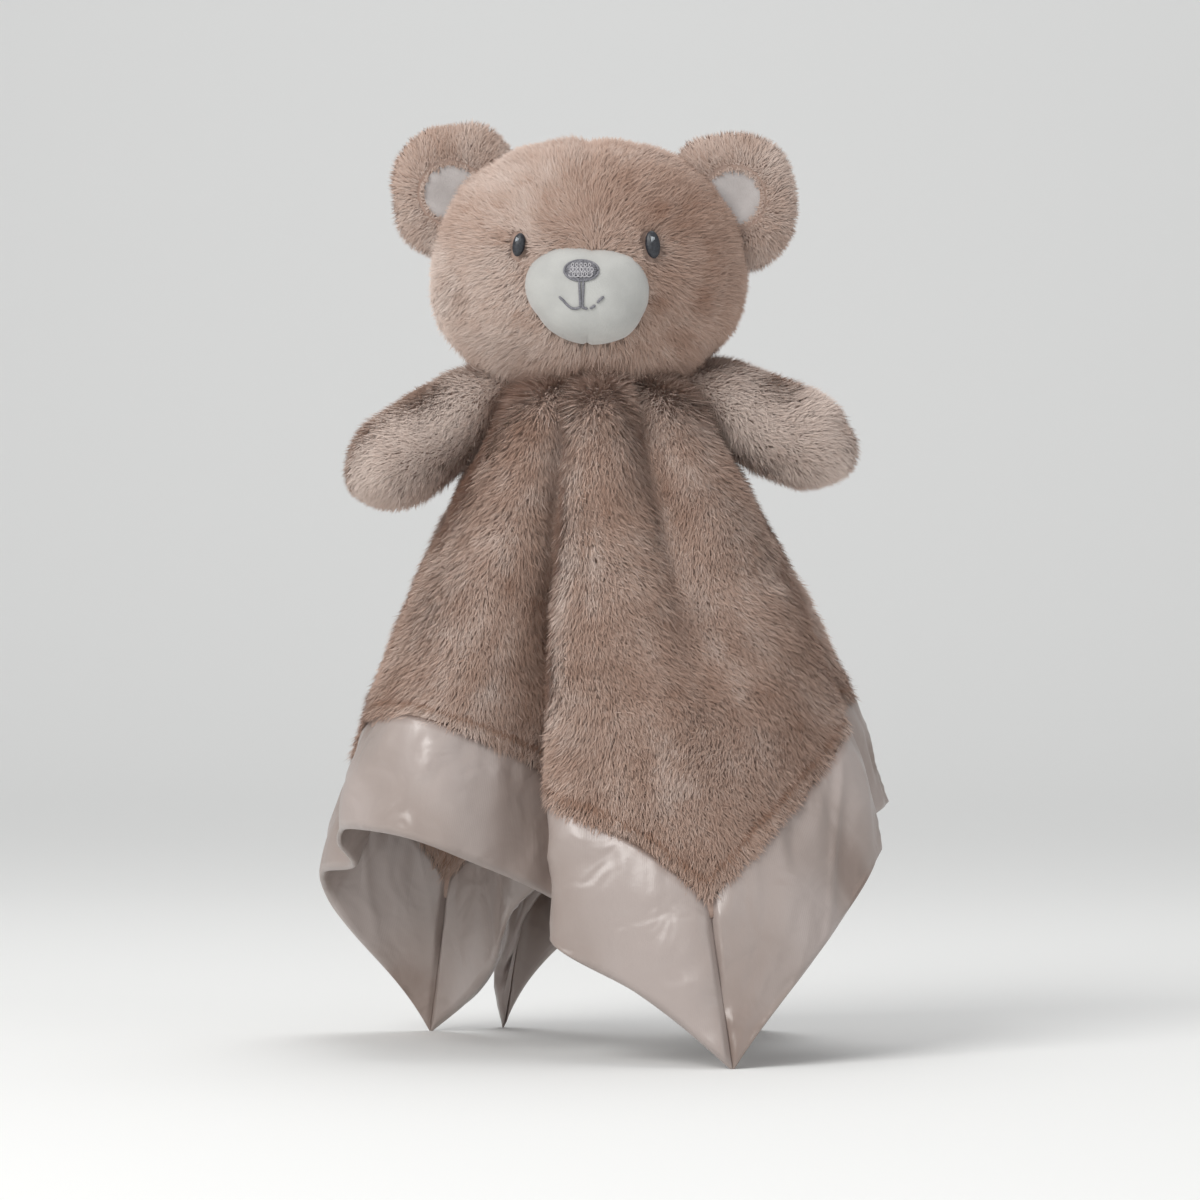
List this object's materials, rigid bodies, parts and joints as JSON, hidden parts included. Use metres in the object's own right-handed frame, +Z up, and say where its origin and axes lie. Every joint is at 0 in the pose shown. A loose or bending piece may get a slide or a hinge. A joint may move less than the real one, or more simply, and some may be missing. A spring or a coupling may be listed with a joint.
{
  "type": "comfort blanket lovey",
  "caption": "Comfort blanket: a plush square with a wide satin border, and a stuffed bear's head and two stuffed arms sewn to its middle.",
  "frame": {"origin": "on the floor, under the middle of the bounding box", "axes": "+Z up through the neck, -Y where the face looks, +X to the viewer's right when facing the face"},
  "size_m": [0.2092, 0.192, 0.3364],
  "materials": {
    "plush": "short curly plush, beige to warm brown",
    "satin": "glossy beige satin, folded in two over the edge",
    "velour": "off-white short-pile velour",
    "lining": "pale grey velour of the ear linings",
    "thread": "grey embroidery thread, satin stitch",
    "eye": "dark embroidery thread, dense satin stitch",
    "fill": "white fibre stuffing, out of sight"
  },
  "bodies": {
    "blanket": {"blanket_outer_plush": "plush", "blanket_inner_plush": "plush", "satin_binding_front_left": "satin", "satin_binding_back_left": "satin", "satin_binding_back_right": "satin", "satin_binding_front_right": "satin"},
    "head": {"head_front_left": "plush", "head_front_right": "plush", "head_back_left": "plush", "head_back_right": "plush", "head_fill": "fill", "muzzle_patch": "velour", "muzzle_fill": "fill", "nose_embroidery": "thread", "mouth_stem_embroidery": "thread", "mouth_smile_embroidery": "thread", "eye_left": "eye", "eye_right": "eye", "ear_left_front": "plush", "ear_left_lining": "lining", "ear_left_back": "plush", "ear_left_fill": "fill", "ear_right_front": "plush", "ear_right_lining": "lining", "ear_right_back": "plush", "ear_right_fill": "fill"},
    "arm_left": {"arm_left_front": "plush", "arm_left_back": "plush", "arm_left_fill": "fill"},
    "arm_right": {"arm_right_front": "plush", "arm_right_back": "plush", "arm_right_fill": "fill"}
  },
  "joints": [
    {"name": "head_turn", "type": "hinge", "parent": "blanket", "child": "head", "pos_m": [-0.00595, -0.0028, 0.247], "axis": [0, 0, 1], "range_deg": [-30, 30], "stiffness_Nm_per_rad": 0.02},
    {"name": "arm_left_swing", "type": "hinge", "parent": "blanket", "child": "arm_left", "pos_m": [-0.03195, -0.0028, 0.24355], "axis": [0, 0, 1], "range_deg": [-20, 20], "stiffness_Nm_per_rad": 0.01},
    {"name": "arm_right_swing", "type": "hinge", "parent": "blanket", "child": "arm_right", "pos_m": [0.02605, -0.0028, 0.24457], "axis": [0, 0, -1], "range_deg": [-20, 20], "stiffness_Nm_per_rad": 0.01}
  ]
}
